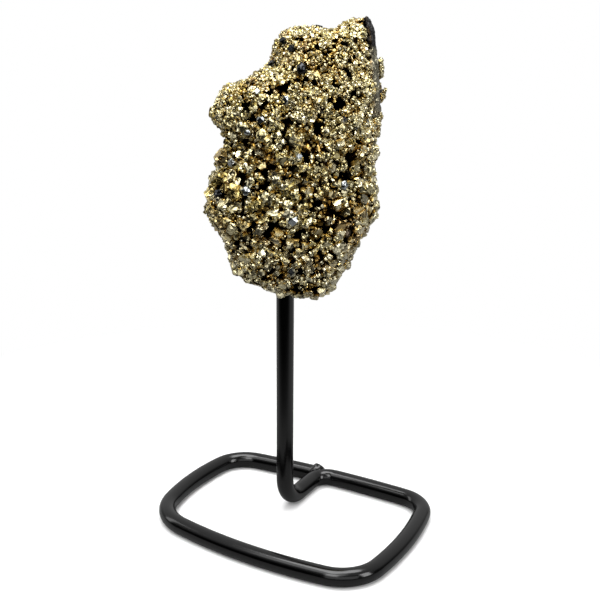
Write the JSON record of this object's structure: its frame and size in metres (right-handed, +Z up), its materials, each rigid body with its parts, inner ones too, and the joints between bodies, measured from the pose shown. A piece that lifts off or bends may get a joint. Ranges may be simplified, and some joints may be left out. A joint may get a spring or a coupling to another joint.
{
  "type": "pyrite specimen on a bent-wire display stand",
  "caption": "Rough lump crusted with pyrite crystals, held upright on a rod of a black wire stand with a rounded rectangular base loop.",
  "frame": {"origin": "on the table, at the centre of the stand's base loop", "axes": "+Z up, +Y to the back, where the arm joins the loop, +X along the loop's long side"},
  "size_m": [0.0817, 0.0603, 0.1511],
  "materials": {
    "pyrite": "brass-gold metallic crystals on a dark broken matrix",
    "black_coating": "satin black powder coat"
  },
  "bodies": {
    "root": {"pyrite_specimen": "pyrite", "wire_stand": "black_coating"}
  },
  "joints": []
}
